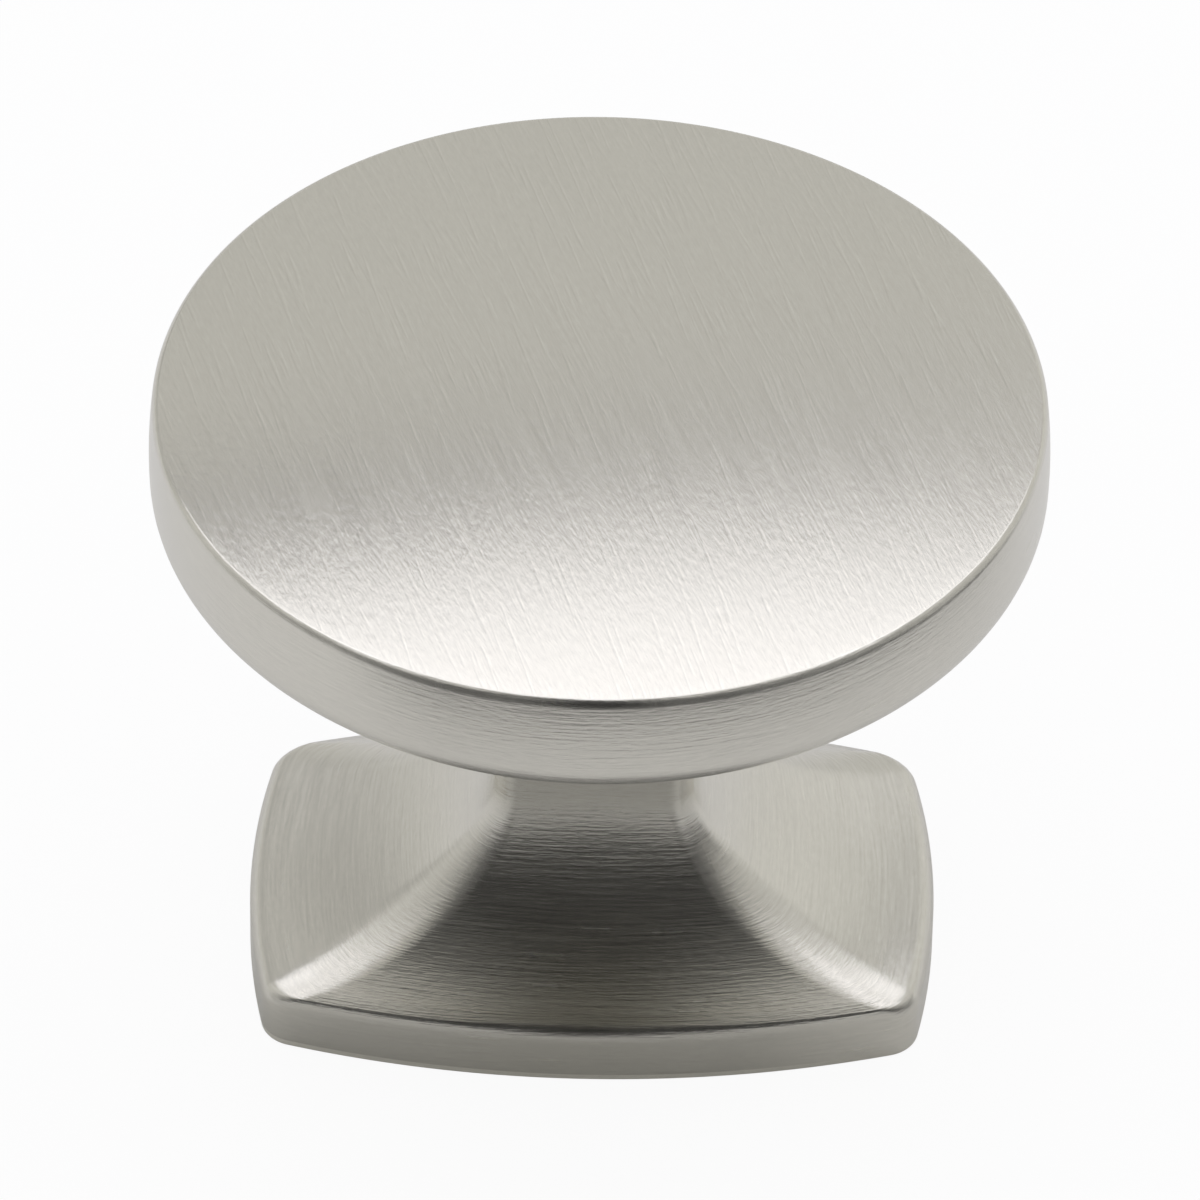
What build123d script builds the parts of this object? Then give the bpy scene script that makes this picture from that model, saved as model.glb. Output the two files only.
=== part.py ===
from build123d import *
from dataclasses import dataclass
import math
import os

# Cabinet knob, cast in one piece, all sizes in mm.
# +Z runs out of the cabinet front and +X along the long side of the base.
# The origin is the centre of the base face.

# Whole knob
overall_height = 26.0

# Head: a round, thick disc whose gently domed face ends in a crisp edge
head_diameter = 32.0
head_wall_height = 3.82
wall_crown = 0.12
face_rise = 0.53
roll_drop = 0.65
roll_inset = 0.34
face_edge_radius = 0.15
under_edge_radius = 1.5
underside_drop = 0.6

# Base rim: a rectangle with bowed sides and rounded corners
base_width = 25.1
base_depth = 16.75
end_bow = 0.77
front_bow = 1.74
base_corner_radius = 1.35
rim_height = 2.35
rim_top_radius = 0.4
rim_bottom_radius = 0.15

# Neck: nearly square, with softened hips at its corners
neck_width = 7.3
neck_depth = 6.9
neck_bow = 0.06
neck_hip_radius = 1.0

# Lower flare: from the neck down to the rim, wide at the ends and steep at the front
flare_height = 7.0
end_pull_height = 0.9
end_fullness = 0.47
front_pull_height = 2.45
front_fullness = 0.72
flare_hip_swell = 1.0

# Upper spread: from the neck out under the head
spread_height = 5.5
spread_reach = 2.0
spread_pull_drop = 1.2
spread_fullness = 0.8
spread_bow = 0.5
spread_hip_radius = 2.4

# Underside: a cored pocket that leaves a land and a centre boss
land_width = 1.8
pocket_depth = 1.3
pocket_corner_radius = 0.9
pocket_roof_radius = 0.35
boss_diameter = 8.6

# Screw hole for a No. 8-32 machine screw, as wide as the thread's roots
screw_hole_diameter = 4.2
screw_hole_depth = 13.0
screw_hole_chamfer = 0.4
drill_point_angle = 118.0

# How far the neck runs up into the head, so that the two join
neck_sink = 0.5

# Sections drawn along each stretch of the loft
flare_steps = 8
spread_steps = 5
neck_section_gap = 1.4

# Heights that follow from the sizes above
face_edge = overall_height - face_rise
wall_top = face_edge - roll_drop
wall_bottom = wall_top - head_wall_height
head_underside = wall_bottom - underside_drop
flare_top = rim_height + flare_height
spread_start = head_underside - spread_height
spread_end = head_underside + neck_sink
neck_steps = max(1, round((spread_start - flare_top) / neck_section_gap))


@dataclass
class Pillow:
    """A rectangle with bowed sides and rounded corners."""

    half_width: float
    half_depth: float
    end_bow: float
    front_bow: float
    corner_radius: float

    def face(self, height):
        """Draw the outline and lay it at a height."""
        corner_x = self.half_width - self.end_bow
        corner_y = self.half_depth - self.front_bow
        end = ThreePointArc((corner_x, -corner_y), (self.half_width, 0), (corner_x, corner_y))
        front = ThreePointArc((corner_x, corner_y), (0, self.half_depth), (-corner_x, corner_y))
        sides = [end, front, mirror(end, about=Plane.YZ), mirror(front, about=Plane.XZ)]
        outline = make_face(sides)
        return Pos(0, 0, height) * fillet(outline.vertices(), self.corner_radius)


neck = Pillow(neck_width / 2, neck_depth / 2, neck_bow, neck_bow, neck_hip_radius)
foot = Pillow(base_width / 2, base_depth / 2, end_bow, front_bow, base_corner_radius)


def between(start, end, share):
    """Value that lies a share of the way from start to end."""
    return start + (end - start) * share


def conic_level(share, pull, fullness):
    """Level, from 1 at the neck to 0 at the outer end, a share of the way along a flare.

    A flare's profile is a conic arc. It leaves the neck upright, and its two end
    tangents cross at the pull level.
    """
    upright = (1 - share) ** 2
    middle = 2 * share * (1 - share) * fullness
    return (upright + middle * pull) / (upright + middle + share ** 2)


def conic_reach(level, pull, fullness):
    """How far a flare has spread at a level, from 0 at the neck to 1 at its outer end."""
    if level <= 0:
        return 1.0
    lean = fullness * (pull - level)
    step = (lean + math.sqrt(lean ** 2 + (1 - level) * level)) / level
    return step ** 2 / (1 + 2 * step * fullness + step ** 2)


def flare_section(share):
    """Section of the lower flare, a share of the way from the neck to the rim.

    The hips are fullest halfway out, where the swell is added to their corner radius.
    """
    end_pull = end_pull_height / flare_height
    front_pull = front_pull_height / flare_height
    level = conic_level(share, end_pull, end_fullness)
    end_reach = conic_reach(level, end_pull, end_fullness)
    front_reach = conic_reach(level, front_pull, front_fullness)
    swell = flare_hip_swell * 4 * end_reach * (1 - end_reach)
    section = Pillow(
        between(neck.half_width, foot.half_width, end_reach),
        between(neck.half_depth, foot.half_depth, front_reach),
        between(neck.end_bow, foot.end_bow, end_reach),
        between(neck.front_bow, foot.front_bow, end_reach),
        between(neck.corner_radius, foot.corner_radius, end_reach) + swell,
    )
    return section.face(rim_height + flare_height * level)


def spread_section(share):
    """Section of the upper spread, a share of the way from the neck into the head."""
    height = spread_end - spread_start
    pull = (spread_pull_drop + neck_sink) / height
    level = conic_level(share, pull, spread_fullness)
    reach = conic_reach(level, pull, spread_fullness)
    section = Pillow(
        neck.half_width + spread_reach * reach,
        neck.half_depth + spread_reach * reach,
        between(neck.end_bow, spread_bow, reach),
        between(neck.front_bow, spread_bow, reach),
        between(neck.corner_radius, spread_hip_radius, reach),
    )
    return section.face(spread_end - height * level)


def ring_at(solid, height):
    """Edges that run around the solid at one height."""
    flat = [edge for edge in solid.edges() if edge.bounding_box().size.Z < 1e-3]
    return [edge for edge in flat if abs(edge.center().Z - height) < 1e-3]


def pedestal():
    """Loft the neck with its two flares, stand it on the rim, and break the rim's edges."""
    flare = [flare_section(1 - step / flare_steps) for step in range(flare_steps)]
    straight = [
        neck.face(between(flare_top, spread_start, step / neck_steps)) for step in range(neck_steps)
    ]
    spread = [spread_section(step / spread_steps) for step in range(spread_steps + 1)]
    rim = extrude(foot.face(0), rim_height, dir=(0, 0, 1))
    body = rim + loft(flare + straight + spread)
    body = fillet(ring_at(body, rim_height), rim_top_radius)
    return fillet(ring_at(body, 0), rim_bottom_radius)


def head():
    """Turn the head from its half section, then round its two edges.

    From the top of its crowned wall the section rolls inwards on one arc, up to the edge
    where it meets the domed face at an angle.
    """
    wall_x = head_diameter / 2 - wall_crown
    wall_middle = (wall_top + wall_bottom) / 2
    wall = ThreePointArc((wall_x, wall_bottom), (head_diameter / 2, wall_middle), (wall_x, wall_top))
    roll = TangentArc(wall @ 1, (wall_x - roll_inset, face_edge), tangent=wall % 1)
    half_section = [
        wall,
        roll,
        TangentArc((0, overall_height), roll @ 1, tangent=(1, 0)),
        Line((0, overall_height), (0, head_underside)),
        Line((0, head_underside), wall @ 0),
    ]
    disc = revolve(Plane.XZ * make_face(half_section), Axis.Z)
    disc = fillet(ring_at(disc, face_edge), face_edge_radius)
    return fillet(ring_at(disc, wall_bottom), under_edge_radius)


def underside_pocket():
    """Space cored out between the land and the boss, with a rounded roof edge."""
    half_width = foot.half_width - land_width
    half_depth = foot.half_depth - land_width
    wall = Pillow(half_width, half_depth, end_bow, front_bow, pocket_corner_radius)
    boss = Circle(boss_diameter / 2)
    pocket = extrude(wall.face(0) - boss, pocket_depth, dir=(0, 0, 1))
    return fillet(ring_at(pocket, pocket_depth), pocket_roof_radius)


def screw_hole():
    """Blind hole with a chamfered mouth and a drilled point."""
    radius = screw_hole_diameter / 2
    point_height = radius / math.tan(math.radians(drill_point_angle / 2))
    half_section = Polyline(
        (0, 0),
        (radius + screw_hole_chamfer, 0),
        (radius, screw_hole_chamfer),
        (radius, screw_hole_depth),
        (0, screw_hole_depth + point_height),
        close=True,
    )
    return revolve(Plane.XZ * make_face(half_section), Axis.Z)


knob = pedestal() + head() - underside_pocket() - screw_hole()
knob.label = "knob"
os.makedirs("parts", exist_ok=True)
export_step(knob, "parts/knob.step")
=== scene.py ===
"""A round cabinet knob in brushed nickel, its neck flaring into a bowed rectangular base.

The casting is one closed skin of rings, from the point of its screw hole to the crown of its face.
Sizes are in millimetres until a mesh is written. The knob's axis is Z and its base lies at zero.
"""

import logging
import math
from dataclasses import dataclass
from enum import Enum

import bpy
import numpy as np
from mathutils import Matrix, Vector


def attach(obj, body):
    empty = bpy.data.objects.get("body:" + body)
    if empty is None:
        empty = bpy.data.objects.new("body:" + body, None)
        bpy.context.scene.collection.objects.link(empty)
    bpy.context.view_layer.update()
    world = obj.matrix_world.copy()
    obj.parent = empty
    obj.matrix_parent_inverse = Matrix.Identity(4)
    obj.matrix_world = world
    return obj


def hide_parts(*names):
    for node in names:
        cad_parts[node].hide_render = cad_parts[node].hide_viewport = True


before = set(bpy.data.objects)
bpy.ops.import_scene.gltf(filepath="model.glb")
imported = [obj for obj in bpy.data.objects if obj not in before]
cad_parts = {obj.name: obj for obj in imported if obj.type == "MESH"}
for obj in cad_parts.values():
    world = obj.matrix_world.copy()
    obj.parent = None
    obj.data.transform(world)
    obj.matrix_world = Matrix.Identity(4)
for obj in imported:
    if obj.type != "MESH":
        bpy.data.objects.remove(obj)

Array = np.ndarray
Pair = tuple[float, float]
Socket = bpy.types.NodeSocket
Feed = float | tuple[float, ...] | Socket

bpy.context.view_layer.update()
MM = 0.001
MICROMETRE = 0.001 * MM
TINY = 1e-9
BODY = "root"
NODE = "knob"
GRAIN_UV = "grain"
GRAIN_TURN = 60.0
ACROSS = "across"
FACING = "facing"
SHARP_ANGLE = 28.0
CLOTH_TONE = 0.03

log = logging.getLogger("cabinet_knob")


class Lay(Enum):
    """Which way a finish was worked."""

    AROUND = "lines follow the rings"
    STRAIGHT = "lines cross the face in one direction"
    NONE = "as cast and plated"


def blend(start: Array, end: Array, share: Array) -> Array:
    """Values that lie a share of the way from start to end."""
    return start + (end - start) * share


def smooth(share: Array) -> Array:
    """A share eased at both ends: three squares less two cubes."""
    held = np.clip(share, 0.0, 1.0)
    return held * held * (3.0 - 2.0 * held)


def column(values: list[float] | Array) -> Array:
    """A list of values as one column."""
    return np.asarray(values, float)[:, None]


def unit(vectors: Array) -> Array:
    """Vectors shaped (n, 3), each brought to a length of one."""
    return vectors / np.linalg.norm(vectors, axis=1, keepdims=True)


def grid_of(x: Array, y: Array, z: Array) -> Array:
    """Points shaped (rows, count, 3), from x, y and z that spread to (rows, count)."""
    return np.stack(np.broadcast_arrays(x, y, z), axis=-1).astype(float)


def turned(radius: Array, angle: Array, height: Array) -> Array:
    """Points shaped (rows, count, 3), from radii, angles and heights round the axis."""
    return grid_of(radius * np.cos(angle), radius * np.sin(angle), height)


def quads_between(rows: int, count: int, closed: bool = True) -> Array:
    """Quads between neighbouring rows of points, and round from the last column to the first.

    Args:
        rows: Rows of points.
        count: Points in a row.
        closed: Whether the last column joins the first.

    Returns:
        Corners shaped (n, 4).
    """
    here = np.arange(count if closed else count - 1)
    after = (here + 1) % count
    row = np.arange(rows - 1)[:, None] * count
    quads = np.stack([row + here, row + after, row + count + after, row + count + here], -1)
    return quads.reshape(-1, 4)


def around(x: Array, y: Array) -> tuple[Array, Array]:
    """Mirror a first quarter, both ends included, into whole rings of count points."""
    upper_x = np.concatenate([x[:, :-1], -x[:, :0:-1]], axis=1)
    upper_y = np.concatenate([y[:, :-1], y[:, :0:-1]], axis=1)
    return np.concatenate([upper_x, -upper_x], axis=1), np.concatenate([upper_y, -upper_y], axis=1)


def meeting(x0: Array, y0: Array, r0: Array, x1: Array, y1: Array, r1: Array) -> tuple[Array, Array]:
    """Where two circles meet, on the side that lies right of and above both centres.

    The chord through both meetings crosses the line of centres at a distance of
    (r0 squared less r1 squared plus d squared) over 2 d from the first centre.

    Returns:
        x and y of the meeting.
    """
    dx, dy = x1 - x0, y1 - y0
    gap = np.hypot(dx, dy)
    along = (r0**2 - r1**2 + gap**2) / (2.0 * gap)
    up = np.sqrt(np.maximum(r0**2 - along**2, 0.0))
    middle_x, middle_y = x0 + dx * along / gap, y0 + dy * along / gap
    side_x, side_y = dy * up / gap, dx * up / gap
    turn = np.where(side_y - side_x >= 0.0, 1.0, -1.0)
    return middle_x - turn * side_x, middle_y + turn * side_y


@dataclass(frozen=True)
class Loop:
    """How each ring is divided, quarter by quarter, so that the hips run along one column.

    The first quarter goes from the right end to the back: half an end, a corner, half a front.
    """

    end_steps: int = 18
    corner_steps: int = 22
    front_steps: int = 26

    @property
    def count(self) -> int:
        """Points on a whole ring."""
        return 4 * (self.end_steps + self.corner_steps + self.front_steps)

    def circle(self) -> Array:
        """Angles of evenly spaced points on a round ring, shaped (1, count)."""
        return (np.arange(self.count) * (2.0 * math.pi / self.count))[None, :]


LOOP = Loop()


@dataclass(frozen=True)
class Pillow:
    """A stack of rectangles with bowed sides and rounded corners, one per row."""

    half_width: Array
    half_depth: Array
    end_bow: Array
    front_bow: Array
    corner_radius: Array

    def ring(self) -> tuple[Array, Array, Array]:
        """Points and outward angles around each rectangle.

        A side is a circle through its two corners and its middle, so its radius is the half
        chord squared plus the bow squared, over twice the bow. A corner's centre lies one
        corner radius inside both circles.

        Returns:
            x, y and outward angle, each shaped (rows, count).
        """
        sizes = (self.half_width, self.half_depth, self.end_bow, self.front_bow, self.corner_radius)
        a, b, end_bow, front_bow, r = (np.atleast_1d(np.asarray(size, float))[:, None] for size in sizes)
        corner_x, corner_y = a - end_bow, b - front_bow
        end_r = (corner_y**2 + end_bow**2) / (2.0 * end_bow)
        front_r = (corner_x**2 + front_bow**2) / (2.0 * front_bow)
        end_x, front_y = a - end_r, b - front_r
        centre_x, centre_y = meeting(end_x, 0.0 * a, end_r - r, 0.0 * a, front_y, front_r - r)
        first = np.arctan2(centre_y, centre_x - end_x)
        last = np.arctan2(centre_y - front_y, centre_x)
        end = first * np.linspace(0.0, 1.0, LOOP.end_steps, endpoint=False)
        corner = blend(first, last, np.linspace(0.0, 1.0, LOOP.corner_steps, endpoint=False))
        front = blend(last, math.pi / 2.0, np.linspace(0.0, 1.0, LOOP.front_steps + 1))
        x = [end_x + end_r * np.cos(end), centre_x + r * np.cos(corner), front_r * np.cos(front)]
        y = [end_r * np.sin(end), centre_y + r * np.sin(corner), front_y + front_r * np.sin(front)]
        angle = np.concatenate([end, corner, front], axis=1)
        x, y = around(np.concatenate(x, axis=1), np.concatenate(y, axis=1))
        out_x, out_y = around(np.cos(angle), np.sin(angle))
        return x, y, np.arctan2(out_y, out_x)

    def points(self, height: Array, inset: Array | float = 0.0) -> Array:
        """Rings at their heights, with every point moved in along its outward angle."""
        x, y, out = self.ring()
        return grid_of(x - inset * np.cos(out), y - inset * np.sin(out), height)


@dataclass(frozen=True)
class Band:
    """Rings of one kind of surface, shaped (rows, count, 3), from its lower to its upper edge."""

    name: str
    points: Array
    lay: Lay


@dataclass(frozen=True)
class Flare:
    """How a side sweeps from the neck to an outer edge: a conic arc that leaves upright."""

    pull: float
    fullness: float

    def level(self, share: Array) -> Array:
        """Level, from 1 at the neck to 0 at the edge, a share of the way along.

        A rational curve of the second degree with the weights 1, fullness and 1, whose
        middle control point lies at the pull level.
        """
        upright = (1.0 - share) ** 2
        middle = 2.0 * share * (1.0 - share) * self.fullness
        return (upright + middle * self.pull) / (upright + middle + share**2)

    def reach(self, level: Array) -> Array:
        """How far the side has spread at a level, from 0 at the neck to 1 at the edge.

        The level's equation is solved for the ratio of share to its complement, and that
        ratio's square is the outer control point's part of the curve.
        """
        held = np.maximum(level, TINY)
        lean = self.fullness * (self.pull - held)
        step = (lean + np.sqrt(lean**2 + (1.0 - held) * held)) / held
        return step**2 / (1.0 + 2.0 * step * self.fullness + step**2)


@dataclass(frozen=True)
class Pedestal:
    """Rim, lower flare, neck and upper spread, up to where they meet the head."""

    base_width: float = 25.1
    base_depth: float = 16.75
    end_bow: float = 0.77
    front_bow: float = 1.74
    base_corner_radius: float = 1.35
    rim_height: float = 2.35
    rim_top_radius: float = 0.75
    rim_bottom_radius: float = 0.15
    neck_width: float = 7.3
    neck_depth: float = 6.9
    neck_bow: float = 0.06
    neck_hip_radius: float = 1.0
    flare_height: float = 7.0
    end_pull_height: float = 0.9
    end_fullness: float = 0.47
    front_pull_height: float = 2.45
    front_fullness: float = 0.72
    flare_hip_swell: float = 1.0
    spread_height: float = 5.5
    spread_reach: float = 2.0
    spread_pull_drop: float = 1.2
    spread_fullness: float = 0.8
    spread_bow: float = 0.5
    spread_hip_radius: float = 2.4
    neck_sink: float = 0.5
    near_rim_share: float = 0.995
    foot_share: float = 0.84
    join_share: float = 0.86
    edge_rows: int = 8
    wall_rows: int = 6
    flare_rows: int = 64
    neck_rows: int = 10
    spread_rows: int = 40
    join_rows: int = 120

    def foot(self) -> Pillow:
        """The rim's outline."""
        half_width, half_depth = self.base_width / 2, self.base_depth / 2
        return Pillow(half_width, half_depth, self.end_bow, self.front_bow, self.base_corner_radius)

    def neck(self) -> Pillow:
        """The straight neck's outline."""
        half_width, half_depth = self.neck_width / 2, self.neck_depth / 2
        return Pillow(half_width, half_depth, self.neck_bow, self.neck_bow, self.neck_hip_radius)

    def flare(self, share: Array) -> Array:
        """Points of the lower flare, for shares from 0 at the neck to 1 at the rim.

        The height follows the end's conic. Each half size is blended from the neck to the
        foot by its own conic's reach at that height, and the bows and the corner by the end's.
        The hips are fullest halfway out, where the swell is added to their corner radius.
        """
        end = Flare(self.end_pull_height / self.flare_height, self.end_fullness)
        front = Flare(self.front_pull_height / self.flare_height, self.front_fullness)
        level = end.level(share)
        end_reach = np.where(share >= 1.0, 1.0, end.reach(level))
        front_reach = np.where(share >= 1.0, 1.0, front.reach(level))
        swell = self.flare_hip_swell * 4.0 * end_reach * (1.0 - end_reach)
        section = Pillow(
            blend(self.neck_width / 2, self.base_width / 2, end_reach),
            blend(self.neck_depth / 2, self.base_depth / 2, front_reach),
            blend(self.neck_bow, self.end_bow, end_reach),
            blend(self.neck_bow, self.front_bow, end_reach),
            blend(self.neck_hip_radius, self.base_corner_radius, end_reach) + swell,
        )
        return section.points(column(self.rim_height + self.flare_height * level))

    def spread(self, share: Array, top: float) -> Array:
        """Points of the upper spread, up to the head's underside and a little beyond.

        Args:
            share: Shares of the way, from 0 at the neck to 1 inside the head.
            top: Height of the head's underside on the axis.

        Returns:
            Points shaped (rows, count, 3).
        """
        height = self.spread_height + self.neck_sink
        side = Flare((self.spread_pull_drop + self.neck_sink) / height, self.spread_fullness)
        level = side.level(share)
        reach = side.reach(level)
        bow = blend(self.neck_bow, self.spread_bow, reach)
        section = Pillow(
            self.neck_width / 2 + self.spread_reach * reach,
            self.neck_depth / 2 + self.spread_reach * reach,
            bow,
            bow,
            blend(self.neck_hip_radius, self.spread_hip_radius, reach),
        )
        return section.points(column(top + self.neck_sink - height * level))

    def rim_band(self) -> Band:
        """Outer wall of the rim, with its bottom and top edges rounded.

        The bottom edge is a quarter circle. The top edge is an arc that touches the wall and
        the flare's foot, column by column: its centre lies on the bisector of the two, the
        radius over the sine of half their angle from the corner.
        """
        radius = self.rim_top_radius
        turn = column(np.linspace(0.0, math.pi / 2, self.edge_rows))
        inset = self.rim_bottom_radius * (1.0 - np.sin(turn))
        low = self.foot().points(self.rim_bottom_radius * (1.0 - np.cos(turn)), inset)
        corner = self.foot().points(self.rim_height)[0]
        inward = unit(self.flare(np.array([self.near_rim_share]))[0] - corner)
        down = np.array([0.0, 0.0, -1.0])
        half = np.arccos(np.clip(inward @ down, -1.0, 1.0)) / 2.0
        reach = (radius / np.tan(half))[:, None]
        centre = corner + unit(inward + down) * (radius / np.sin(half))[:, None]
        start = (corner + down * reach - centre) / radius
        stop = (corner + inward * reach - centre) / radius
        swing = (math.pi - 2.0 * half)[None, :, None]
        step = np.linspace(0.0, 1.0, self.edge_rows)[:, None, None]
        arc = (np.sin((1.0 - step) * swing) * start + np.sin(step * swing) * stop) / np.sin(swing)
        top = centre + radius * arc
        wall = blend(low[-1], top[0], np.linspace(0.0, 1.0, self.wall_rows)[1:-1, None, None])
        return Band("rim", np.concatenate([low, wall, top]), Lay.AROUND)

    def flare_band(self, top: float) -> Band:
        """Lower flare, straight neck and upper spread, ending just below the head's underside."""
        flare = self.flare(np.linspace(self.foot_share, 0.0, self.flare_rows))
        start = self.rim_height + self.flare_height
        height = np.linspace(start, top - self.spread_height, self.neck_rows)[1:-1]
        neck = self.neck().points(column(height))
        spread = self.spread(np.linspace(0.0, self.join_share, self.spread_rows), top)
        return Band("flare", np.concatenate([flare, neck, spread]), Lay.AROUND)

    def junction(self, top: float, rise: float) -> Array:
        """Ring where the spread meets the head's underside.

        Both heights are compared on fine rows of the spread, and each column's meeting is
        interpolated between the two rows where their difference changes sign.

        Args:
            top: Height of the head's underside on the axis.
            rise: How much the underside rises for each millimetre outwards.

        Returns:
            Points shaped (count, 3).
        """
        grid = self.spread(np.linspace(self.join_share, 1.0, self.join_rows), top)
        over = grid[..., 2] - top - rise * np.hypot(grid[..., 0], grid[..., 1])
        above = np.argmax(over > 0.0, axis=0)
        here = np.arange(LOOP.count)
        low, high = over[above - 1, here], over[above, here]
        return blend(grid[above - 1, here], grid[above, here], (low / (low - high))[:, None])


@dataclass(frozen=True)
class Head:
    """The round head: underside, rounded wall and gently domed face."""

    overall_height: float = 26.0
    diameter: float = 32.0
    wall_height: float = 4.17
    wall_crown: float = 0.12
    face_rise: float = 0.53
    roll_drop: float = 0.3
    roll_inset: float = 0.21
    face_edge_radius: float = 0.15
    under_edge_radius: float = 1.5
    underside_drop: float = 0.6
    under_rows: int = 14
    edge_rows: int = 12
    wall_rows: int = 8
    roll_rows: int = 10
    face_rows: int = 30

    @property
    def wall_top(self) -> float:
        """Height where the wall begins to roll inwards."""
        return self.overall_height - self.face_rise - self.roll_drop

    @property
    def wall_bottom(self) -> float:
        """Height where the wall and the underside would meet in a sharp edge."""
        return self.wall_top - self.wall_height

    @property
    def underside(self) -> float:
        """Height of the underside on the axis."""
        return self.wall_bottom - self.underside_drop

    @property
    def edge_x(self) -> float:
        """Radius of the wall at its top and bottom."""
        return self.diameter / 2 - self.wall_crown

    @property
    def rise(self) -> float:
        """How much the underside rises for each millimetre outwards."""
        return self.underside_drop / self.edge_x

    def wall_circle(self) -> tuple[float, float, float]:
        """Centre radius, centre height and radius of the wall's slight crown."""
        radius = ((self.wall_height / 2) ** 2 + self.wall_crown**2) / (2 * self.wall_crown)
        return self.diameter / 2 - radius, (self.wall_top + self.wall_bottom) / 2, radius

    def roll_circle(self) -> tuple[float, float, float]:
        """Centre radius, centre height and radius of the roll from the wall to the face edge.

        The roll touches the wall's circle at the wall's top, so its centre lies inwards along
        the normal there. Its radius is the chord squared, over twice the chord's part along
        that normal.
        """
        wall_x, wall_z, wall_r = self.wall_circle()
        normal = np.array([self.edge_x - wall_x, self.wall_top - wall_z]) / wall_r
        chord = np.array([-self.roll_inset, self.roll_drop])
        radius = -(chord @ chord) / (2 * chord @ normal)
        centre = np.array([self.edge_x, self.wall_top]) - radius * normal
        return float(centre[0]), float(centre[1]), float(radius)

    def profile(self) -> tuple[Array, Array, int]:
        """Radius and height from the underside's edge to the crown.

        The dome's radius is half its width squared plus its rise squared, over twice the
        rise. The under edge's centre lies its own radius above the underside's line and
        inside the wall's circle, and the face edge's inside the roll's and the dome's.

        Returns:
            Radii, heights, and the index at which the face begins.
        """
        wall_x, wall_z, wall_r = self.wall_circle()
        roll_x, roll_z, roll_r = self.roll_circle()
        face_r = ((self.edge_x - self.roll_inset) ** 2 + self.face_rise**2) / (2 * self.face_rise)
        face_z = self.overall_height - face_r
        tilt = math.atan(self.rise)
        under, edge = self.under_edge_radius, self.face_edge_radius
        foot_z = self.underside + under / math.cos(tilt)
        lift = foot_z - wall_z
        slope = 1.0 + self.rise**2
        half_b = -wall_x + self.rise * lift
        rest = wall_x**2 + lift**2 - (wall_r - under) ** 2
        under_x = (-half_b + math.sqrt(half_b**2 - slope * rest)) / slope
        under_z = foot_z + self.rise * under_x
        edge_x, edge_z = meeting(roll_x, roll_z, roll_r - edge, 0.0, face_z, face_r - edge)
        turns = (
            tilt - math.pi / 2,
            math.atan2(under_z - wall_z, under_x - wall_x),
            math.atan2(roll_z - wall_z, roll_x - wall_x),
            math.atan2(edge_z - roll_z, edge_x - roll_x),
            math.atan2(edge_z - face_z, edge_x),
            math.pi / 2,
        )
        arcs = (
            (under_x, under_z, under, self.edge_rows),
            (wall_x, wall_z, wall_r, self.wall_rows),
            (roll_x, roll_z, roll_r, self.roll_rows),
            (edge_x, edge_z, edge, self.edge_rows),
            (0.0, face_z, face_r, self.face_rows),
        )
        radius, height = [], []
        for (x, z, r, rows), start, stop in zip(arcs, turns[:-1], turns[1:]):
            turn = np.linspace(start, stop, rows, endpoint=False)
            radius.append(x + r * np.cos(turn))
            height.append(z + r * np.sin(turn))
        begin = sum(rows for *_, rows in arcs[:-1])
        return np.concatenate(radius), np.concatenate(height), begin

    def bands(self, junction: Array) -> list[Band]:
        """Underside, wall and face, from the neck's junction to the ring next to the crown.

        On the underside the columns turn from the junction's own angles to even ones.

        Args:
            junction: Ring where the neck meets the underside, shaped (count, 3).

        Returns:
            The three bands.
        """
        radius, height, begin = self.profile()
        even = LOOP.circle()
        own = np.unwrap(np.arctan2(junction[:, 1], junction[:, 0]))
        start = np.hypot(junction[:, 0], junction[:, 1])
        share = column(np.linspace(0.0, 1.0, self.under_rows, endpoint=False))
        under_r = blend(start, radius[0], share)
        under = turned(under_r, blend(own, even, smooth(share)), self.underside + self.rise * under_r)
        outer = turned(column(radius), even, column(height))
        return [
            Band("head underside", under, Lay.AROUND),
            Band("head wall", outer[:begin], Lay.AROUND),
            Band("head face", outer[begin:], Lay.STRAIGHT),
        ]


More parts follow.
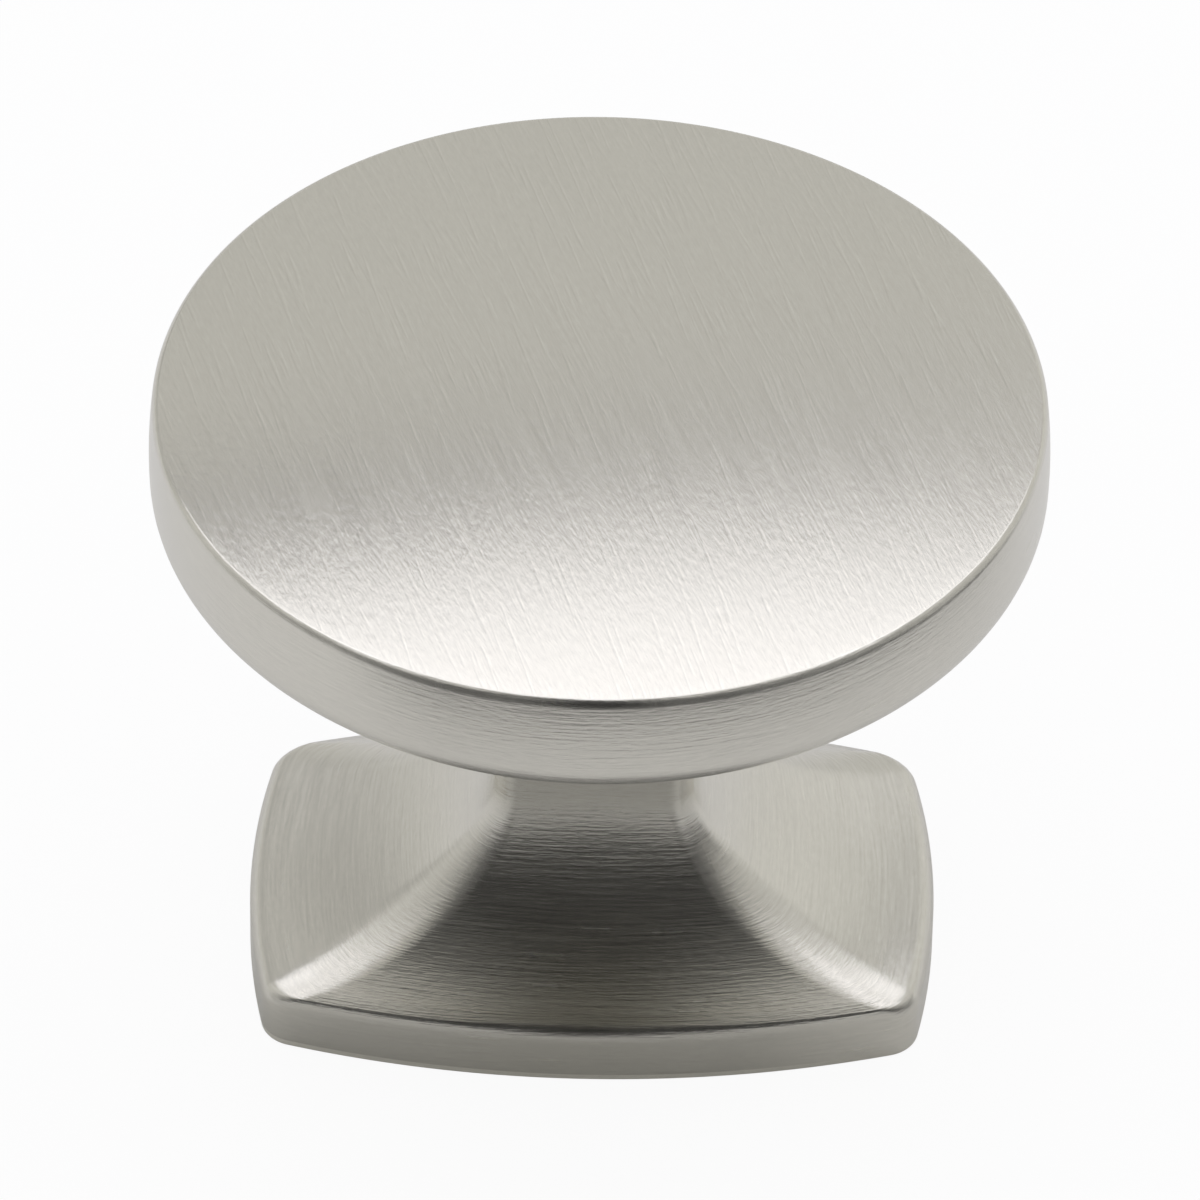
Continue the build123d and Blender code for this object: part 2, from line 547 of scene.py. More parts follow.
@dataclass(frozen=True)
class Underside:
    """Land, cored pocket, centre boss and blind screw hole, seen only from below."""

    land_width: float = 1.8
    pocket_depth: float = 1.3
    pocket_corner_radius: float = 0.9
    pocket_roof_radius: float = 0.35
    boss_diameter: float = 8.6
    hole_diameter: float = 4.2
    hole_depth: float = 13.0
    hole_chamfer: float = 0.4
    drill_point_angle: float = 118.0
    tip_share: float = 0.08
    boss_ring_share: float = 0.3
    wall_ring_share: float = 0.5
    roof_rows: int = 6

    @property
    def point_height(self) -> float:
        """Height of the drilled point, where the hole ends."""
        half = math.radians(self.drill_point_angle / 2)
        return self.hole_depth + self.hole_diameter / 2 / math.tan(half)

    def band(self, pedestal: Pedestal) -> Band:
        """Every surface from the ring next to the hole's point out to the rim's bottom edge.

        The hole, its chamfer and the boss are circles. The roof of the pocket is a blend from
        the boss to the pocket's outline, with a quarter circle at both ends. The land closes
        the gap to the rim.

        Args:
            pedestal: The pedestal whose rim the land meets.

        Returns:
            The band, from the hole's point outwards.
        """
        even = LOOP.circle()
        depth, curl = self.pocket_depth, self.pocket_roof_radius
        hole, boss = self.hole_diameter / 2, self.boss_diameter / 2
        tip_drop = (self.point_height - self.hole_depth) * self.tip_share
        circles = (
            (hole * self.tip_share, self.point_height - tip_drop),
            (hole, self.hole_depth),
            (hole, self.hole_chamfer),
            (hole + self.hole_chamfer, 0.0),
            (boss, 0.0),
            (boss, depth * self.boss_ring_share),
            (boss, depth - curl),
        )
        radius, height = zip(*circles)
        bored = turned(column(radius), even, column(height))
        outline = Pillow(
            pedestal.base_width / 2 - self.land_width,
            pedestal.base_depth / 2 - self.land_width,
            pedestal.end_bow,
            pedestal.front_bow,
            self.pocket_corner_radius,
        )
        turn = column(np.linspace(0.0, math.pi / 2, self.roof_rows))
        bend_in, bend_up = curl * (1.0 - np.cos(turn)), depth - curl * (1.0 - np.sin(turn))
        inner = turned(boss + bend_in, even, bend_up)
        outer = outline.points(bend_up[::-1], bend_in[::-1])
        share = np.linspace(0.0, 1.0, self.roof_rows)[1:-1, None, None]
        roof = blend(inner[-1], outer[0], share)
        wall = outline.points(column([depth * self.wall_ring_share, 0.0]))
        return Band("underside", np.concatenate([bored, inner[1:], roof, outer, wall]), Lay.NONE)


class Desk:
    """A new material and the short methods that add and join its nodes."""

    def __init__(self, name: str) -> None:
        """Start the material with its one shader."""
        self.material = bpy.data.materials.new(name)
        self.material.use_nodes = True
        self.tree = self.material.node_tree
        self.shader = self.tree.nodes["Principled BSDF"]

    def add(self, kind: str, **settings: str | bool) -> bpy.types.Node:
        """Add a node with its settings."""
        node = self.tree.nodes.new(kind)
        for name, value in settings.items():
            setattr(node, name, value)
        return node

    def feed(self, socket: Socket, value: Feed) -> None:
        """Link a socket to another one, or set its constant."""
        if isinstance(value, Socket):
            self.tree.links.new(value, socket)
        else:
            socket.default_value = value

    def result(self, kind: str, *values: Feed, **settings: str) -> Socket:
        """Add a node, feed its inputs in order and give its first output."""
        node = self.add(kind, **settings)
        for socket, value in zip(node.inputs, values):
            self.feed(socket, value)
        return node.outputs[0]

    def math(self, operation: str, *values: Feed) -> Socket:
        """The result of one sum."""
        return self.result("ShaderNodeMath", *values, operation=operation)

    def vector(self, *values: Feed) -> Socket:
        """Three values as one vector."""
        return self.result("ShaderNodeCombineXYZ", *values)

    def parts(self, vector: Socket) -> tuple[Socket, ...]:
        """The three values of a vector."""
        node = self.add("ShaderNodeSeparateXYZ")
        self.feed(node.inputs[0], vector)
        return tuple(node.outputs)

    def attribute(self, name: str) -> Socket:
        """A value stored with the mesh's points."""
        return self.add("ShaderNodeAttribute", attribute_name=name).outputs["Fac"]

    def noise(self, vector: Socket, detail: float) -> Socket:
        """Soft noise from about 0.3 to 0.7, one cell to each unit of the vector."""
        node = self.add("ShaderNodeTexNoise")
        self.feed(node.inputs["Vector"], vector)
        node.inputs["Scale"].default_value = 1.0
        node.inputs["Detail"].default_value = detail
        return node.outputs["Fac"]

    def step(self, value: Feed, low: Feed, high: Feed, *ends: float) -> Socket:
        """Ease from 0 to 1, or between other ends, while the value goes from low to high."""
        values = (value, low, high, *ends)
        return self.result("ShaderNodeMapRange", *values, interpolation_type="SMOOTHSTEP")


@dataclass(frozen=True)
class Strokes:
    """One set of strokes that the brush left.

    Args:
        per_mm: Strokes side by side in a millimetre.
        length: Length of a stroke, in millimetres.
        depth: Height between a groove and the ridge beside it, in micrometres.
        tone: How far the colour swings.
        haze: How far the roughness swings.
        slant: Sideways drift for each millimetre along the stroke.
        pair: Where only the strongest strokes show, as scratches: how far a scratch's dark
        side lies from its bright side. The colour is lifted on one side and lowered on the
        other: a painted highlight and painted shade beside each scratch.
        seed: Offset that keeps two sets apart.
    """

    per_mm: float
    length: float
    depth: float
    tone: float = 0.0
    haze: float = 0.0
    slant: float = 0.0
    pair: float = 0.0
    seed: float = 0.0


@dataclass(frozen=True)
class Nickel:
    """Satin nickel plating: its colour, its gloss and the lines that the brush left.

    Around the knob the relief is softer on the sides that face left and right. Scratches
    show where the noise passes from the first to the second value of the scratch range.
    """

    name: str
    lay: Lay
    strokes: tuple[Strokes, ...]
    color: tuple[float, float, float] = (0.664, 0.643, 0.57)
    roughness: float = 0.24
    anisotropy: float = 0.9
    end_strength: float = 0.35
    end_range: Pair = (0.2, 0.8)
    scratch_range: Pair = (0.62, 0.74)
    detail: float = 2.0

    def stroke_space(self, desk: Desk, stroke: Strokes, shift: float = 0.0) -> Socket:
        """Coordinates in which one cell of noise is as wide and long as one stroke.

        Strokes around the knob read the distance across the rings and the place in space,
        straight ones the grain map, and a cast skin the place in space alone.

        Args:
            desk: The material's nodes.
            stroke: The set of strokes.
            shift: Sideways shift of the whole set, in millimetres.

        Returns:
            The vector that the noise reads.
        """
        wide, long = stroke.per_mm, 1.0 / stroke.length
        if self.lay is Lay.STRAIGHT:
            u, v, _ = desk.parts(desk.add("ShaderNodeUVMap", uv_map=GRAIN_UV).outputs[0])
            drift = desk.math("MULTIPLY_ADD", v, stroke.slant, desk.math("ADD", u, shift))
            across, along = desk.math("MULTIPLY", drift, wide), desk.math("MULTIPLY", v, long)
            return desk.vector(across, along, stroke.seed)
        x, y, z = desk.parts(desk.add("ShaderNodeTexCoord").outputs["Object"])
        if self.lay is Lay.NONE:
            return desk.vector(*(desk.math("MULTIPLY", value, wide / MM) for value in (x, y, z)))
        across = desk.math("ADD", desk.attribute(ACROSS), shift)
        lifted = desk.math("MULTIPLY_ADD", across, wide, stroke.seed)
        return desk.vector(*(desk.math("MULTIPLY", value, long / MM) for value in (x, y)), lifted)

    def swing(self, desk: Desk, stroke: Strokes, shift: float = 0.0) -> Socket:
        """Height over one set of strokes: about -0.2 to 0.2, or 0 and down to -0.5 in scratches."""
        lines = desk.noise(self.stroke_space(desk, stroke, shift), 0.0 if stroke.pair else self.detail)
        if stroke.pair:
            lines = desk.step(lines, *self.scratch_range, 0.5, 0.0)
        return desk.math("SUBTRACT", lines, 0.5)

    def material(self) -> bpy.types.Material:
        """Build the shader: strokes drawn out from noise, for relief, gloss and tone."""
        desk = Desk(self.name)
        inputs = desk.shader.inputs
        relief, gloss, tone = 0.0, self.roughness, 1.0
        for stroke in self.strokes:
            swing = self.swing(desk, stroke)
            relief = desk.math("MULTIPLY_ADD", swing, stroke.depth, relief)
            if stroke.haze:
                gloss = desk.math("MULTIPLY_ADD", swing, stroke.haze, gloss)
            # For scratches the tone is the shifted scratch less the scratch: a painted highlight on one
            # side and painted shade on the other.
            if stroke.pair:
                swing = desk.math("SUBTRACT", self.swing(desk, stroke, stroke.pair), swing)
            if stroke.tone:
                tone = desk.math("MULTIPLY_ADD", swing, stroke.tone, tone)
        if self.lay is Lay.AROUND:
            strength = desk.step(desk.attribute(FACING), *self.end_range, self.end_strength, 1.0)
            relief = desk.math("MULTIPLY", relief, strength)
        shade = desk.add("ShaderNodeVectorMath", operation="SCALE")
        shade.inputs[0].default_value = self.color
        desk.feed(shade.inputs["Scale"], tone)
        desk.feed(inputs["Base Color"], shade.outputs[0])
        desk.feed(inputs["Roughness"], gloss)
        inputs["Metallic"].default_value = 1.0
        bump = desk.add("ShaderNodeBump")
        bump.inputs["Distance"].default_value = MICROMETRE
        desk.feed(bump.inputs["Height"], relief)
        desk.feed(inputs["Normal"], bump.outputs[0])
        if self.lay is not Lay.NONE:
            inputs["Anisotropic"].default_value = self.anisotropy
            tangent = desk.add("ShaderNodeTangent", direction_type="UV_MAP", uv_map=GRAIN_UV)
            desk.feed(inputs["Tangent"], tangent.outputs["Tangent"])
        return desk.material


def finishes() -> dict[Lay, Nickel]:
    """The three finishes: as cast below, brushed around the sides, brushed straight on the face."""
    cast = (Strokes(2.5, 0.4, 12.0, tone=0.10, haze=0.12),)
    around_lines = (
        Strokes(9.0, 3.0, 11.0, tone=0.14, haze=0.08),
        Strokes(4.0, 6.0, 3.5, tone=0.06, haze=0.06, seed=41.0),
        Strokes(9.0, 0.4, 9.0, tone=0.14, seed=29.0),
        Strokes(7.0, 2.0, 1.5, tone=0.06, pair=0.06, seed=83.0),
    )
    straight_lines = (
        Strokes(10.0, 4.0, 2.5, tone=0.06, haze=0.05),
        Strokes(9.0, 0.5, 5.0, tone=0.11, seed=31.0),
        Strokes(2.2, 9.0, 2.5, tone=0.05, haze=0.04, seed=17.0),
        Strokes(7.0, 3.5, 0.6, tone=0.08, slant=0.06, pair=0.06, seed=53.0),
        Strokes(5.0, 6.0, 0.6, tone=0.05, slant=-0.04, pair=0.07, seed=71.0),
    )
    return {
        Lay.NONE: Nickel("nickel_as_cast", Lay.NONE, cast, roughness=0.42),
        Lay.AROUND: Nickel("nickel_brushed_around", Lay.AROUND, around_lines, roughness=0.25),
        Lay.STRAIGHT: Nickel("nickel_brushed_straight", Lay.STRAIGHT, straight_lines, roughness=0.22),
    }


@dataclass(frozen=True)
class Casting:
    """The whole knob as one closed skin, its straight lines turned from X by the face's turn."""

    pedestal: Pedestal = Pedestal()
    head: Head = Head()
    underside: Underside = Underside()
    face_turn: float = -70.8

    def bands(self) -> list[Band]:
        """All bands in order, from the point of the screw hole to the crown of the face."""
        head, pedestal = self.head, self.pedestal
        return [
            self.underside.band(pedestal),
            pedestal.rim_band(),
            pedestal.flare_band(head.underside),
            *head.bands(pedestal.junction(head.underside, head.rise)),
        ]

    @staticmethod
    def faces(rows: int, count: int) -> list[Array]:
        """Quads between neighbouring rings, and a fan on a single point of the axis at each end."""
        ring = np.arange(count)
        turn = (ring + 1) % count
        last, low, high = (rows - 1) * count, rows * count, rows * count + 1
        low_fan = np.stack([np.full(count, low), turn, ring], -1)
        high_fan = np.stack([last + ring, last + turn, np.full(count, high)], -1)
        return [quads_between(rows, count), low_fan, high_fan]

    def build(self) -> bpy.types.Object:
        """Write the skin as a mesh with its grain map and its finishes."""
        bands = self.bands()
        grid = np.concatenate([band.points for band in bands])
        rows, count = grid.shape[:2]
        ends = [[0.0, 0.0, self.underside.point_height], [0.0, 0.0, self.head.overall_height]]
        points = np.concatenate([grid.reshape(-1, 3), ends])
        mesh = mesh_of("knob_casting", points, self.faces(rows, count))
        self.write_lines(mesh, grid)
        self.write_grain(mesh, grid, points, len(bands[-1].points))
        worn = finishes()
        order = list(worn)
        for finish in worn.values():
            mesh.materials.append(finish.material())
        lengths = [len(band.points) for band in bands]
        slots = np.repeat([order.index(band.lay) for band in bands], lengths)
        fans = [np.full(count, slots[0]), np.full(count, slots[-1])]
        slots = np.concatenate([np.repeat(slots[1:], count), *fans])
        mesh.polygons.foreach_set("material_index", slots.astype(np.int32))
        mesh.update()
        for band in bands:
            log.info("%s: %d rings", band.name, len(band.points))
        return place(mesh)

    def write_lines(self, mesh: bpy.types.Mesh, grid: Array) -> None:
        """Store each point's distance across the lines, and how far it faces front or back.

        The second value is the part of its ring's direction that runs along X.

        Args:
            mesh: The casting's mesh.
            grid: Its rings, shaped (rows, count, 3).
        """
        across = distance_across(grid)
        side = np.roll(grid, -1, axis=1) - np.roll(grid, 1, axis=1)
        facing = np.abs(side[..., 0]) / np.hypot(side[..., 0], side[..., 1])
        distances = np.append(np.repeat(across, grid.shape[1]), [0.0, across[-1]])
        facings = np.append(facing.ravel(), [1.0, 1.0])
        for name, values in ((ACROSS, distances), (FACING, facings)):
            attribute = mesh.attributes.new(name, "FLOAT", "POINT")
            attribute.data.foreach_set("value", values.astype(np.float32))

    def write_grain(self, mesh: bpy.types.Mesh, grid: Array, points: Array, face_rows: int) -> None:
        """Store a map that runs across and along the lines, straight ones on the face.

        A loop in the first column counts as the one after the last where its polygon closes
        the ring.

        Args:
            mesh: The casting's mesh.
            grid: Its rings, shaped (rows, count, 3).
            points: All its points, shaped (n, 3).
            face_rows: How many of the last rings lie on the face.
        """
        rows, count = grid.shape[:2]
        turn = math.radians(self.face_turn)
        along = np.array([math.cos(turn), math.sin(turn)])
        square = np.array([-math.sin(turn), math.cos(turn)])
        flat = np.stack([points[:, :2] @ square, points[:, :2] @ along], -1)
        loops = whole_numbers(mesh.loops, "vertex_index")
        starts = whole_numbers(mesh.polygons, "loop_start")
        first = np.repeat(loops[starts], whole_numbers(mesh.polygons, "loop_total"))
        closes = (loops % count == 0) & (first % count == count - 1)
        position = (loops % count + np.where(closes, count, 0)) * (GRAIN_TURN / count)
        worked = np.stack([distance_across(grid)[np.minimum(loops // count, rows - 1)], position], -1)
        begin = rows - face_rows
        on_face = (loops // count >= begin) & (first // count >= begin)
        uv = np.where(on_face[:, None], flat[loops], worked)
        mesh.uv_layers.new(name=GRAIN_UV).data.foreach_set("uv", uv.astype(np.float32).ravel())


def distance_across(grid: Array) -> Array:
    """Mean length of the columns up to each ring of a grid."""
    step = np.linalg.norm(np.diff(grid, axis=0), axis=2).mean(axis=1)
    return np.append(0.0, np.cumsum(step))


def whole_numbers(items: bpy.types.bpy_prop_collection, name: str) -> Array:
    """One whole number of each loop or polygon."""
    values = np.zeros(len(items), np.int32)
    items.foreach_get(name, values)
    return values


@dataclass(frozen=True)
class ScrewThread:
    """The thread for a No. 8-32 machine screw: one ridge wound up the wall of the hole.

    Its root is sunk a little into the wall, and its crest ends the end height above that.
    """

    pitch: float = 0.794
    root_radius: float = 2.12
    crest_radius: float = 1.72
    crest_width: float = 0.1
    flank_angle: float = 30.0
    end_height: float = 0.04
    start: float = 0.75
    stop: float = 12.4
    steps_per_turn: int = 60

    def build(self) -> bpy.types.Object:
        """Wind the section up the hole and close both ends.

        Each section has four corners, on the root and on the crest, below and above. Its
        middle climbs one pitch a turn. Over the first and last half turn the crest sinks
        back towards the wall, where each end is closed by one quad.
        """
        turns = (self.stop - self.start) / self.pitch
        sections = round(turns * self.steps_per_turn) + 1
        wound = np.linspace(0.0, turns, sections)
        rise = smooth(2.0 * np.minimum(wound, turns - wound))
        crest = blend(self.root_radius - self.end_height, self.crest_radius, rise)
        root, half_crest = self.root_radius, self.crest_width / 2
        half_root = half_crest + (root - crest) * math.tan(math.radians(self.flank_angle))
        radius = np.stack(np.broadcast_arrays(root, crest, crest, root), -1)
        offset = np.stack(np.broadcast_arrays(-half_root, -half_crest, half_crest, half_root), -1)
        height = self.start + self.pitch * column(wound) + offset
        points = turned(radius, 2.0 * math.pi * column(wound), height)
        corners = np.arange(4)
        ends = np.array([corners[::-1], 4 * (sections - 1) + corners])
        mesh = mesh_of("screw_thread", points.reshape(-1, 3), [quads_between(sections, 4), ends])
        mesh.materials.append(finishes()[Lay.NONE].material())
        return place(mesh)


def mesh_of(name: str, points: Array, faces: list[Array]) -> bpy.types.Mesh:
    """Write points and faces into a new mesh, smooth but for its true edges.

    Args:
        name: The mesh's name.
        points: Points in millimetres, shaped (n, 3).
        faces: Arrays of faces, each of one corner count.

    Returns:
        The mesh, in metres.
    """
    mesh = bpy.data.meshes.new(name)
    corners = np.concatenate([part.ravel() for part in faces]).astype(np.int32)
    totals = np.concatenate([np.full(len(part), part.shape[1]) for part in faces]).astype(np.int32)
    starts = (np.cumsum(totals) - totals).astype(np.int32)
    mesh.vertices.add(len(points))
    mesh.vertices.foreach_set("co", (points * MM).astype(np.float32).ravel())
    mesh.loops.add(len(corners))
    mesh.loops.foreach_set("vertex_index", corners)
    mesh.polygons.add(len(totals))
    mesh.polygons.foreach_set("loop_start", starts)
    mesh.polygons.foreach_set("loop_total", totals)
    mesh.update(calc_edges=True)
    mesh.validate()
    mesh.shade_smooth()
    mesh.set_sharp_from_angle(angle=math.radians(SHARP_ANGLE))
    return mesh


def place(mesh: bpy.types.Mesh) -> bpy.types.Object:
    """Add a mesh to the scene as an object at the origin."""
    piece = bpy.data.objects.new(mesh.name, mesh)
    bpy.context.scene.collection.objects.link(piece)
    return piece


@dataclass(frozen=True)
class Softbox:
    """A large soft lamp, aimed at the knob.

    Angles are in degrees and sizes in metres. White cloth has a radiance of 1. The roll turns
    its left side up, and the frame is a dark bar under its lower edge.
    """

    name: str
    azimuth: float
    elevation: float
    width: float
    height: float
    radiance: float
    color: tuple[float, float, float] = (1.0, 1.0, 1.0)
    roll: float = 0.0
    frame_width: float = 0.0
    distance: float = 0.75

    def turn(self, target: Vector) -> Matrix:
        """Where the lamp stands: its own Z points away from the target and its Y upwards."""
        turn, tilt = math.radians(self.azimuth), math.radians(self.elevation)
        flat = math.cos(tilt)
        away = Vector((flat * math.cos(turn), flat * math.sin(turn), math.sin(tilt)))
        facing = away.to_track_quat("Z", "Y").to_matrix().to_4x4()
        roll = Matrix.Rotation(math.radians(self.roll), 4, "Z")
        return Matrix.Translation(target + away * self.distance) @ facing @ roll

    def add(self, target: Vector) -> None:
        """Place the lamp at its angles from the target, with a flux of pi times area."""
        lamp = bpy.data.lights.new(self.name, "AREA")
        lamp.shape = "RECTANGLE"
        lamp.size, lamp.size_y = self.width, self.height
        lamp.energy = self.radiance * math.pi * self.width * self.height
        lamp.color = self.color
        made = bpy.data.objects.new(self.name, lamp)
        made.matrix_world = self.turn(target)
        made.visible_camera = False
        bpy.context.scene.collection.objects.link(made)

    def frame(self, target: Vector) -> bpy.types.Object:
        """The dark bar under the lamp's lower edge, its corners turned with the lamp."""
        high = -self.height / 2
        low, half = high - self.frame_width, self.width / 2
        corners = ((-half, low), (half, low), (half, high), (-half, high))
        spots = [self.turn(target) @ Vector((x, y, 0.0)) / MM for x, y in corners]
        made = place(mesh_of(self.name + "_frame", np.array(spots), [np.array([[0, 1, 2, 3]])]))
        made.data.materials.append(matt("frame_cloth", CLOTH_TONE).material)
        made.visible_camera = False
        return made


@dataclass(frozen=True)
class Card:
    """A dark cloth bent round the knob, which thins out towards its edges. Only reflections
    see it, so it paints darkness into the metal's reflections without blocking light or casting
    a shadow.

    Angles are in degrees and distances in millimetres. The cloth is whole up to the first
    angle across, to either side of its middle, and gone at the second. Between the narrows'
    elevations that pair turns into the one for high up. It thins in over the foot's
    elevations and out over the top's, and hides as much as the cover says where it is
    thickest. Over the side range its tone turns into the side tone.
    """

    name: str
    middle: float
    across: Pair
    foot: Pair
    top: Pair
    across_high: Pair | None = None
    narrows: Pair = (0.0, 90.0)
    cover: float = 1.0
    side_tone: float = CLOTH_TONE
    side_range: Pair = (6.0, 20.0)
    distance: float = 560.0
    lift: float = 0.3
    lines: int = 49

    def mesh(self, target: Array) -> bpy.types.Mesh:
        """The card's grid.

        Its points lie on a sphere round the target: the distance times the cosine of the
        elevation outwards, and times its sine upwards. Below the target they stop where
        their line meets the floor.
        """
        half_turn = max(self.across[1], (self.across_high or self.across)[1])
        turn = np.radians(np.linspace(self.middle - half_turn, self.middle + half_turn, self.lines))
        tilt = np.radians(np.linspace(self.foot[0], self.top[1], self.lines))
        turn, tilt = np.meshgrid(turn, tilt)
        away = turned(np.cos(tilt), turn, np.sin(tilt))
        distance = np.minimum(self.distance, (target[2] - self.lift) / np.maximum(-away[..., 2], TINY))
        points = (target + distance[..., None] * away).reshape(-1, 3)
        return mesh_of(self.name, points, [quads_between(self.lines, self.lines, closed=False)])

    def cloth(self, target: Array) -> bpy.types.Material:
        """Matt dark cloth, let through by the angles of each place from the card's middle."""
        desk = matt(self.name + "_cloth", CLOTH_TONE)
        spin = desk.add("ShaderNodeVectorRotate", rotation_type="Z_AXIS")
        desk.feed(spin.inputs["Vector"], desk.add("ShaderNodeTexCoord").outputs["Object"])
        desk.feed(spin.inputs["Angle"], -math.radians(self.middle))
        x, y, z = desk.parts(spin.outputs[0])
        turn = desk.math("ABSOLUTE", desk.math("ARCTAN2", y, x))
        rise = desk.math("SUBTRACT", z, float(target[2]) * MM)
        squares = desk.math("ADD", desk.math("MULTIPLY", x, x), desk.math("MULTIPLY", y, y))
        tilt = desk.math("ARCTAN2", rise, desk.math("SQRT", squares))
        start, end = (
            desk.step(tilt, *np.radians(self.narrows), *np.radians(pair))
            for pair in zip(self.across, self.across_high or self.across)
        )
        sides = desk.step(turn, start, end, self.cover, 0.0)
        foot = desk.step(tilt, *np.radians(self.foot))
        top = desk.step(tilt, *np.radians(self.top), 1.0, 0.0)
        thick = desk.math("MULTIPLY", sides, desk.math("MULTIPLY", foot, top))
        desk.feed(desk.shader.inputs["Alpha"], thick)
        tone = desk.step(turn, *np.radians(self.side_range), CLOTH_TONE, self.side_tone)
        desk.feed(desk.shader.inputs["Base Color"], desk.vector(tone, tone, tone))
        return desk.material

    def add(self, target: Array) -> bpy.types.Object:
        """Place the card where only reflections show it, so that it dims no light on the floor."""
        made = place(self.mesh(target))
        made.data.materials.append(self.cloth(target))
        # Hidden from camera, diffuse and shadow rays: a painted dark reflection that blocks no light and
        # casts no shadow.
        for ray in ("camera", "diffuse", "shadow"):
            setattr(made, "visible_" + ray, False)
        return made


@dataclass(frozen=True)
class Studio:
    """Plain pale floor, even pale surround, soft lamps and dark cards."""

    target: tuple[float, float, float] = (0.0, 0.0, 15.0)
    floor_color: float = 0.86
    floor_half: float = 1500.0
    floor_white: float = 0.93
    surround: float = 0.69
    cool: tuple[float, float, float] = (0.98, 0.98, 1.13)

    def lamps(self) -> list[Softbox]:
        """The soft lamps: one above and behind, one at each side and two low behind."""
        return [
            Softbox("lamp_top", 90.0, 68.6, 0.95, 0.60, 1.02, self.cool, roll=7.5, frame_width=0.037),
            Softbox("lamp_right", 3.0, 62.0, 0.40, 0.26, 0.50, self.cool),
            Softbox("lamp_left", 177.0, 62.0, 0.40, 0.26, 0.35, self.cool),
            Softbox("lamp_rear", 50.0, 14.0, 0.40, 0.36, 0.12),
            Softbox("lamp_rear_left", 132.0, 6.0, 0.40, 0.22, 0.10),
        ]

    def cards(self) -> list[Card]:
        """The dark cards, seen only in reflections: by the camera, thinly behind on the left, and three
        low in front. They paint darkness into the metal's reflections; the near one is a painted shadow
        of the knob on the floor close in front, and the neck one is painted shade under the head.
        """
        return [
            Card(
                "camera_card",
                middle=-90.0,
                across=(30.0, 115.0),
                foot=(-6.0, -1.0),
                top=(79.5, 81.5),
                across_high=(10.0, 44.0),
                narrows=(30.0, 62.0),
                side_tone=0.16,
            ),
            Card("left_card", 130.0, (14.0, 30.0), (4.0, 16.0), (20.0, 50.0), cover=0.25),
            # Painted shadow: a dark sheet on the floor just in front of the base, standing in for the
            # knob's own shadow there in reflections.
            Card("near_painted_shadow", -105.0, (45.0, 75.0), (-72.0, -62.0), (-50.0, -38.0), cover=0.30),
            Card("low_card", -62.0, (58.0, 88.0), (-13.0, -12.0), (0.0, 6.0), distance=65.0),
            # Painted shade: a dark sheet under the head in front of the neck, standing in for the head's
            # shade in the neck's reflections.
            Card("neck_painted_shade", -90.0, (20.0, 45.0), (-38.5, -32.0), (-14.0, -8.0), distance=17.5),
        ]

    def build(self) -> None:
        """Add floor, cards, lamps and surround."""
        corners = self.floor_half * np.array([[-1, -1, 0], [1, -1, 0], [1, 1, 0], [-1, 1, 0]])
        floor = place(mesh_of("floor", corners, [np.array([[0, 1, 2, 3]])]))
        floor.data.materials.append(self.floor_paint())
        for card in self.cards():
            card.add(np.array(self.target))
            log.info("%s hung", card.name)
        target = Vector(self.target) * MM
        for lamp in self.lamps():
            lamp.add(target)
            if lamp.frame_width:
                lamp.frame(target)
            log.info("%s placed", lamp.name)
        self.add_surround()

    def add_surround(self) -> None:
        """Add the even surround, which the camera itself sees as white."""
        world = bpy.data.worlds.new("surround")
        world.use_nodes = True
        tree = world.node_tree
        seen = tree.nodes.new("ShaderNodeLightPath").outputs["Is Camera Ray"]
        tone = tree.nodes.new("ShaderNodeMapRange")
        tone.inputs["To Min"].default_value = self.surround
        tree.links.new(seen, tone.inputs["Value"])
        tree.links.new(tone.outputs["Result"], tree.nodes["Background"].inputs["Color"])
        bpy.context.scene.world = world

    def floor_paint(self) -> bpy.types.Material:
        """Matt pale paint that looks nearly white to the camera and keeps a light shadow."""
        desk = matt("floor_paint", self.floor_color)
        white = desk.add("ShaderNodeEmission")
        mix = desk.add("ShaderNodeMixShader")
        seen = desk.add("ShaderNodeLightPath").outputs["Is Camera Ray"]
        desk.feed(mix.inputs["Fac"], desk.math("MULTIPLY", seen, self.floor_white))
        desk.feed(mix.inputs[1], desk.shader.outputs[0])
        desk.feed(mix.inputs[2], white.outputs[0])
        desk.feed(desk.tree.nodes["Material Output"].inputs["Surface"], mix.outputs[0])
        return desk.material


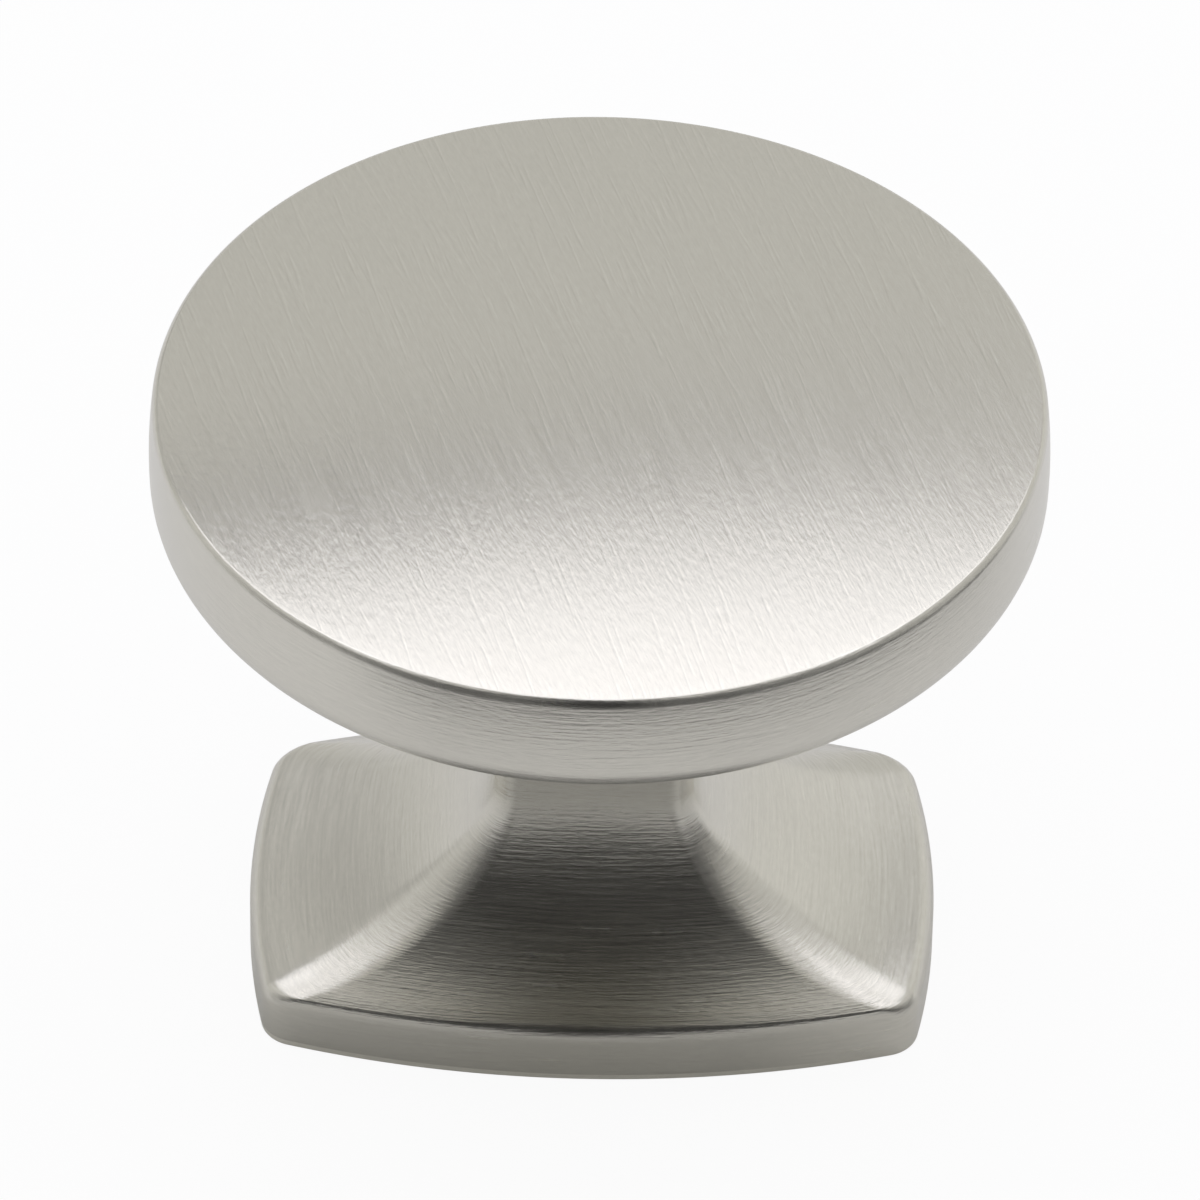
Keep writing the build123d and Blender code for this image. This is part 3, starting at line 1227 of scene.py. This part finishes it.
def matt(name: str, tone: float) -> Desk:
    """A matt grey paint or cloth without any gloss."""
    desk = Desk(name)
    desk.shader.inputs["Base Color"].default_value = (tone, tone, tone, 1.0)
    desk.shader.inputs["Roughness"].default_value = 1.0
    desk.shader.inputs["Specular IOR Level"].default_value = 0.0
    return desk


@dataclass(frozen=True)
class PhotoCamera:
    """The photograph's long lens, found from the outlines of the head and the base.

    Angles are in degrees, and the clip distances in metres.
    """

    elevation: float = 42.05
    roll: float = 1.0
    distance: float = 421.6
    aim: tuple[float, float, float] = (0.108, 0.0, 15.955)
    pixels_per_mm: float = 27.837
    image_width: float = 1200.0
    sensor: float = 36.0
    clip: Pair = (0.01, 10.0)

    def add(self) -> None:
        """Place the camera in front of the knob and make it the scene's camera."""
        tilt, roll = math.radians(self.elevation), math.radians(self.roll)
        right = Vector((1.0, 0.0, 0.0))
        up = Vector((0.0, math.sin(tilt), math.cos(tilt)))
        back = Vector((0.0, -math.cos(tilt), math.sin(tilt)))
        side = right * math.cos(roll) + up * math.sin(roll)
        top = up * math.cos(roll) - right * math.sin(roll)
        lens = bpy.data.cameras.new("photo_camera")
        lens.sensor_width = self.sensor
        lens.lens = self.pixels_per_mm * self.distance * self.sensor / self.image_width
        lens.clip_start, lens.clip_end = self.clip
        made = bpy.data.objects.new("photo_camera", lens)
        turn = Matrix((side, top, back)).transposed().to_4x4()
        made.matrix_world = Matrix.Translation((Vector(self.aim) + back * self.distance) * MM) @ turn
        bpy.context.scene.collection.objects.link(made)
        bpy.context.scene.camera = made


def main() -> None:
    """Build the knob, its studio and its camera."""
    logging.basicConfig(level=logging.INFO, format="%(name)s: %(message)s")
    casting = Casting().build()
    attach(casting, BODY)
    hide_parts(NODE)
    log.info("casting: %d faces", len(casting.data.polygons))
    thread = ScrewThread().build()
    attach(thread, BODY)
    log.info("screw thread: %d faces", len(thread.data.polygons))
    Studio().build()
    PhotoCamera().add()
    bpy.context.scene.view_settings.view_transform = "Standard"


if __name__ == "__main__":
    main()
